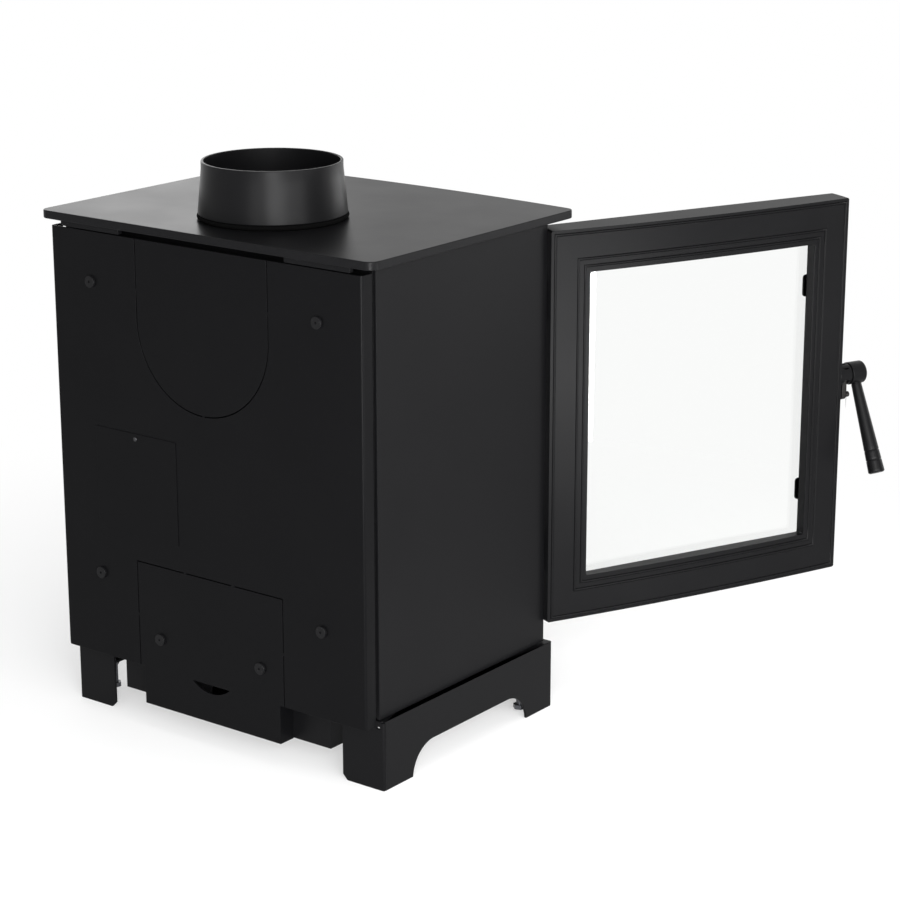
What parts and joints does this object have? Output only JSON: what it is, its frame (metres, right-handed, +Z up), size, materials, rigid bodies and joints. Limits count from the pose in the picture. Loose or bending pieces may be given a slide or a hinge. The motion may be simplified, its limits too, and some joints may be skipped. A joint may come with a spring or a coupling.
{
  "type": "wood-burning stove",
  "caption": "Box-shaped wood stove on an arched plinth, with a bowed glazed door standing open on a hinge, a lever latch, a top flue collar and a rear heat shield.",
  "frame": {"origin": "on the hearth, straight below the axis of the flue collar", "axes": "+X to the right seen from the front, -Y towards the front (the closed door), +Z up along the flue"},
  "size_m": [0.665, 0.7269, 0.6276],
  "materials": {
    "painted_sheet": "matt black heat-resistant stove paint on folded steel sheet",
    "painted_plate": "satin black heat-resistant stove paint on flat steel plate",
    "painted_cast": "matt black stove paint on fine sand-cast iron",
    "bare_cast": "unpainted grey cast iron",
    "shield_sheet": "matt black paint on thin steel sheet",
    "zinc": "zinc-plated steel",
    "black_screw": "black oxide steel screw",
    "rivet": "bright steel",
    "firebrick": "pressed vermiculite fire board",
    "pan_sheet": "grey steel sheet",
    "rope": "black glass-fibre stove rope and tape",
    "stove_glass": "clear glass ceramic"
  },
  "bodies": {
    "stove_body": {"plinth_left": "painted_sheet", "plinth_right": "painted_sheet", "plinth_front": "painted_sheet", "plinth_bolts": "zinc", "base_plate": "painted_sheet", "side_panel_left": "painted_sheet", "side_panel_right": "painted_sheet", "back_panel": "painted_sheet", "front_frame": "painted_cast", "ash_shelf": "painted_sheet", "grate_shelf": "painted_sheet", "top_plate": "painted_plate", "flue_seal": "rope", "flue_collar": "painted_cast", "collar_bolts": "zinc", "outlet_blank": "painted_cast", "outlet_blank_bolts": "zinc", "air_box": "painted_sheet", "rear_shield": "shield_sheet", "shield_spacers": "zinc", "shield_screws": "black_screw", "cover_screws": "black_screw", "shield_tabs": "painted_sheet", "data_plate": "shield_sheet", "data_plate_rivet": "rivet", "brick_left": "firebrick", "brick_right": "firebrick", "brick_rear": "firebrick", "baffle": "firebrick", "grate": "bare_cast", "log_guard": "bare_cast", "airwash_plate": "painted_sheet", "air_rails": "painted_cast", "hinge_brackets": "painted_cast", "hinge_pins": "zinc", "door_keeper": "painted_cast"},
    "door": {"door_frame": "painted_cast", "door_glass": "stove_glass", "glass_tape": "rope", "glass_clips": "painted_sheet", "clip_screws": "black_screw", "door_rope": "rope", "handle_boss": "painted_cast"},
    "handle": {"handle_washer": "zinc", "handle_spindle": "zinc", "handle_hub": "painted_cast", "hub_screw": "black_screw", "handle_lever": "painted_cast", "latch_cam": "bare_cast"},
    "ash_pan": {"ash_pan": "pan_sheet", "ash_pan_pull": "pan_sheet"},
    "air_slider": {"air_slider": "painted_cast", "air_knob": "rivet"},
    "levelling_bolt_front_left": {"levelling_bolt_front_left": "zinc"},
    "levelling_bolt_front_right": {"levelling_bolt_front_right": "zinc"},
    "levelling_bolt_rear_left": {"levelling_bolt_rear_left": "zinc"},
    "levelling_bolt_rear_right": {"levelling_bolt_rear_right": "zinc"}
  },
  "joints": [
    {"name": "door_hinge", "type": "hinge", "parent": "stove_body", "child": "door", "pos_m": [-0.2003, -0.2059, 0.3234], "axis": [0, 0, -1], "range_deg": [-113.5, 0]},
    {"name": "handle_turn", "type": "hinge", "parent": "door", "child": "handle", "pos_m": [-0.37971, -0.59318, 0.3335], "axis": [0.3987, 0.9171, 0], "range_deg": [-22, 15]},
    {"name": "ash_pan_slide", "type": "slide", "parent": "stove_body", "child": "ash_pan", "axis": [0, -1, 0], "range_m": [0, 0.24]},
    {"name": "air_slide", "type": "slide", "parent": "stove_body", "child": "air_slider", "axis": [1, 0, 0], "range_m": [-0.025, 0.025]},
    {"name": "levelling_bolt_front_left_slide", "type": "slide", "parent": "stove_body", "child": "levelling_bolt_front_left", "axis": [0, 0, -1], "range_m": [0, 0.012]},
    {"name": "levelling_bolt_front_right_slide", "type": "slide", "parent": "stove_body", "child": "levelling_bolt_front_right", "axis": [0, 0, -1], "range_m": [0, 0.012]},
    {"name": "levelling_bolt_rear_left_slide", "type": "slide", "parent": "stove_body", "child": "levelling_bolt_rear_left", "axis": [0, 0, -1], "range_m": [0, 0.012]},
    {"name": "levelling_bolt_rear_right_slide", "type": "slide", "parent": "stove_body", "child": "levelling_bolt_rear_right", "axis": [0, 0, -1], "range_m": [0, 0.012]}
  ]
}
